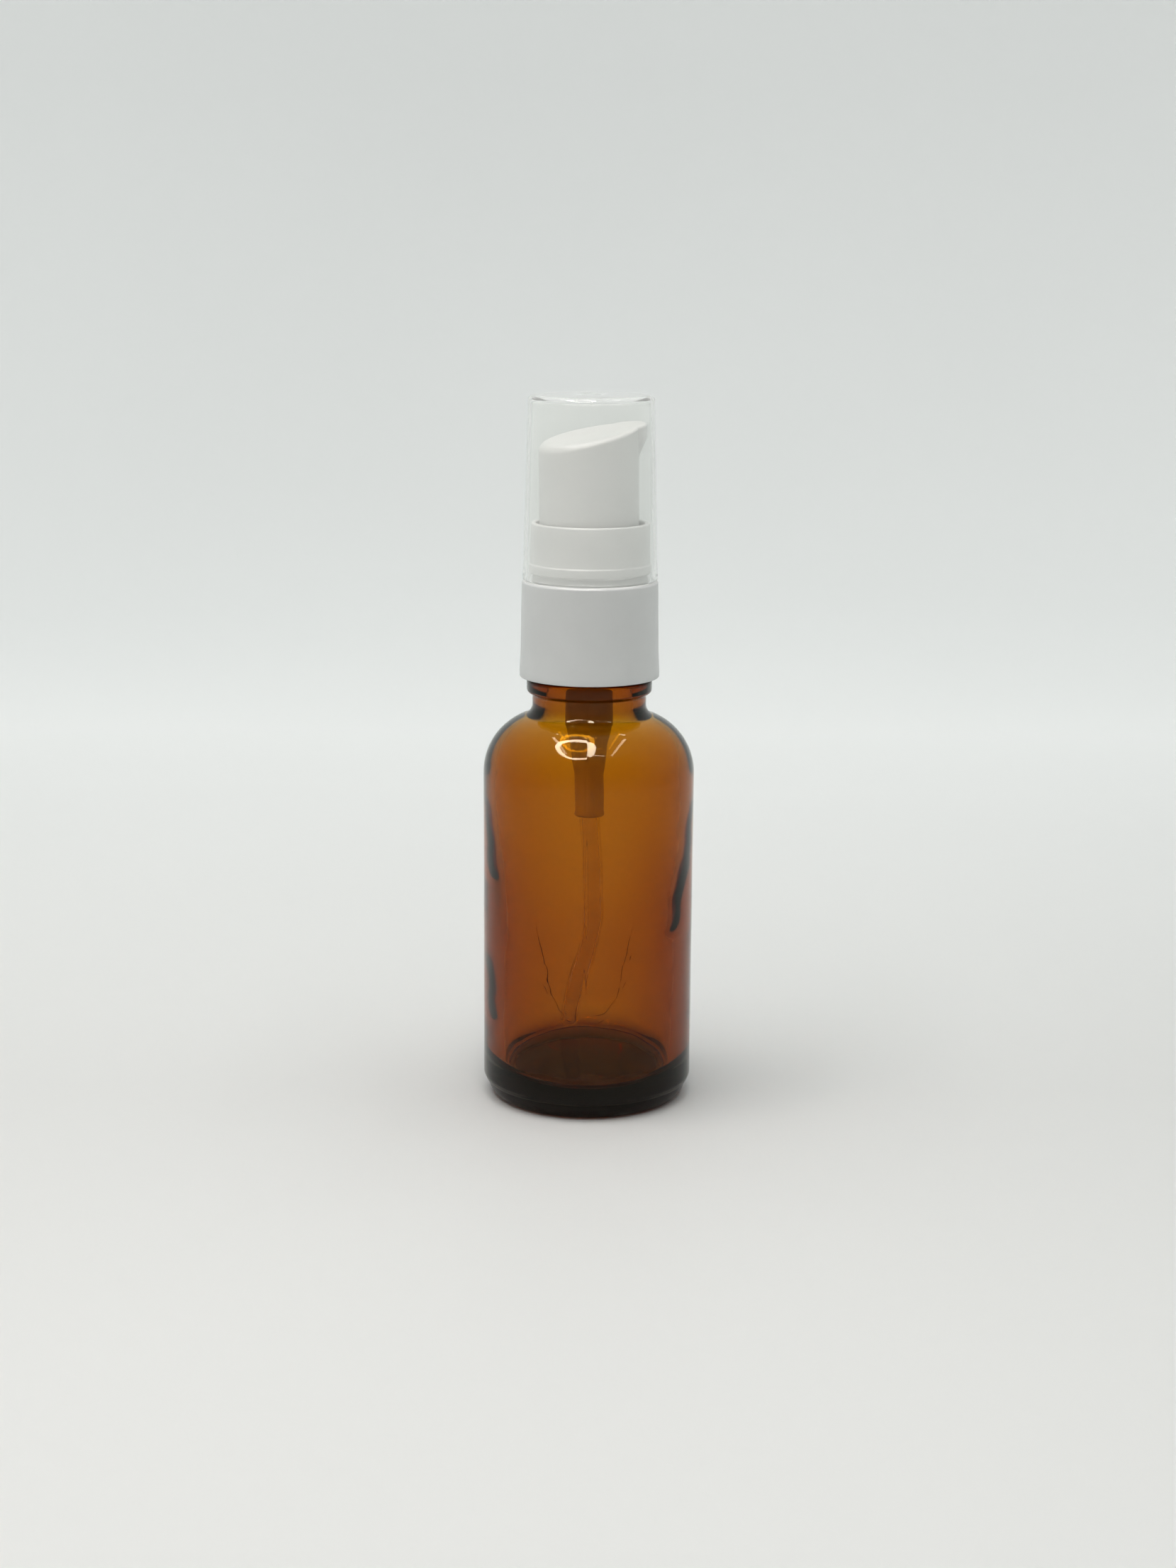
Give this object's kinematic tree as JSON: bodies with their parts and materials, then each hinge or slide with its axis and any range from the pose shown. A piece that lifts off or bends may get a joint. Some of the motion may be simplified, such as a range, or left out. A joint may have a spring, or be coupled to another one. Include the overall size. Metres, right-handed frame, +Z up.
{
  "type": "pump oil bottle",
  "caption": "Small amber glass bottle with a white finger pump, a dip tube inside and a clear pull-off overcap, for dispensing body or massage oil.",
  "frame": {"origin": "centre of the ring on which the bottle stands", "axes": "+Z up along the bottle's and the pump's axis; the spout points between +X and +Y, 25 degrees from +X"},
  "size_m": [0.033, 0.033, 0.1106],
  "materials": {
    "bottle": "polished amber moulded glass with a faint mould seam",
    "collar": "satin white moulded polypropylene",
    "guide_ring": "satin white moulded polypropylene",
    "neck_gasket": "matt white foamed polyethylene",
    "overcap": "clear moulded plastic, slightly hazy",
    "pump_housing": "satin natural polypropylene",
    "stem": "satin white moulded polypropylene",
    "piston_pin": "satin natural polypropylene",
    "piston": "soft natural polyethylene",
    "return_spring": "bright drawn stainless spring wire",
    "inlet_ball": "polished clear glass",
    "dip_tube": "translucent extruded polyethylene",
    "actuator": "satin white moulded polypropylene"
  },
  "bodies": {
    "bottle": {"bottle": "bottle"},
    "pump": {"pump_housing": "pump_housing", "guide_ring": "guide_ring", "neck_gasket": "neck_gasket", "dip_tube": "dip_tube", "return_spring": "return_spring"},
    "collar": {"collar": "collar"},
    "stem": {"stem": "stem", "piston_pin": "piston_pin"},
    "actuator": {"actuator": "actuator"},
    "piston": {"piston": "piston"},
    "ball": {"inlet_ball": "inlet_ball"},
    "overcap": {"overcap": "overcap"}
  },
  "joints": [
    {"name": "pump_lift", "type": "slide", "parent": "bottle", "child": "pump", "axis": [0, 0, 1], "range_m": [0, 0.0045]},
    {"name": "collar_turn", "type": "hinge", "parent": "pump", "child": "collar", "pos_m": [0, 0, 0.075], "axis": [0, 0, 1], "range_deg": [0, 540]},
    {"name": "overcap_pull", "type": "slide", "parent": "pump", "child": "overcap", "axis": [0, 0, 1], "range_m": [0, 0.035]},
    {"name": "pump_press", "type": "slide", "parent": "pump", "child": "stem", "axis": [0, 0, -1], "range_m": [0, 0.0046], "stiffness_N_per_m": 800, "springref_m": -0.002, "deforming": ["return_spring"]},
    {"name": "spout_turn", "type": "hinge", "parent": "stem", "child": "actuator", "pos_m": [0, 0, 0.1], "axis": [0, 0, 1], "continuous": true},
    {"name": "piston_shift", "type": "slide", "parent": "stem", "child": "piston", "axis": [0, 0, 1], "range_m": [0, 0.0006]},
    {"name": "inlet_lift", "type": "slide", "parent": "pump", "child": "ball", "axis": [0, 0, 1], "range_m": [0, 0.0008]}
  ],
  "couplings": [
    {"joint": "pump_lift", "follows": "collar_turn", "m_per_rad": 0.00047746}
  ]
}
